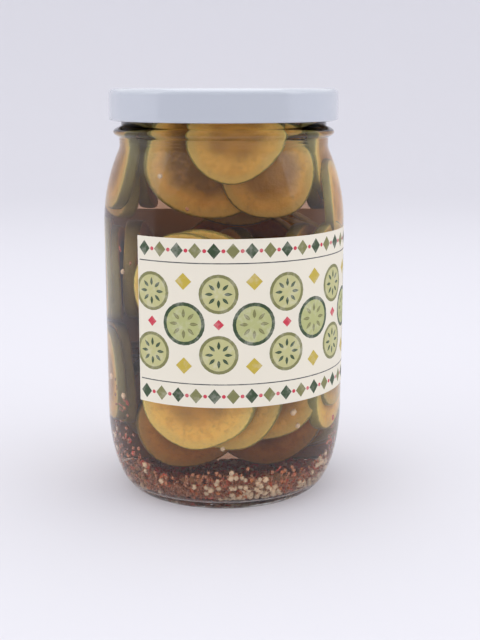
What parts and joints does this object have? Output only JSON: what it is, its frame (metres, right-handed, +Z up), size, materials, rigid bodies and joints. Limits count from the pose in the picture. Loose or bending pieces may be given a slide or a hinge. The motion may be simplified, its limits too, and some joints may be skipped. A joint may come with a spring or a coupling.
{
  "type": "pickle jar",
  "caption": "Round wide-mouth glass jar of pickled slices in brine, with a screw lid and a paper label wrapped round its body.",
  "frame": {"origin": "centre of the circle that the jar stands on, at the level of the surface under it", "axes": "+Z up along the jar's axis; -Y towards the side with the label's start edge at its left"},
  "size_m": [0.0969, 0.097, 0.162],
  "materials": {
    "clear_glass": "polished clear flint glass",
    "lid_enamel": "gloss white enamel on tinplate",
    "label_paper": "matt cream coated paper, printed",
    "brine": "clear amber-brown liquid",
    "pickle_flesh": "wet, translucent golden-olive vegetable flesh",
    "spice": "dull mustard seeds and red pepper flakes"
  },
  "bodies": {
    "root": {"jar_glass": "clear_glass", "lid": "lid_enamel", "label": "label_paper", "brine": "brine"}
  },
  "joints": []
}
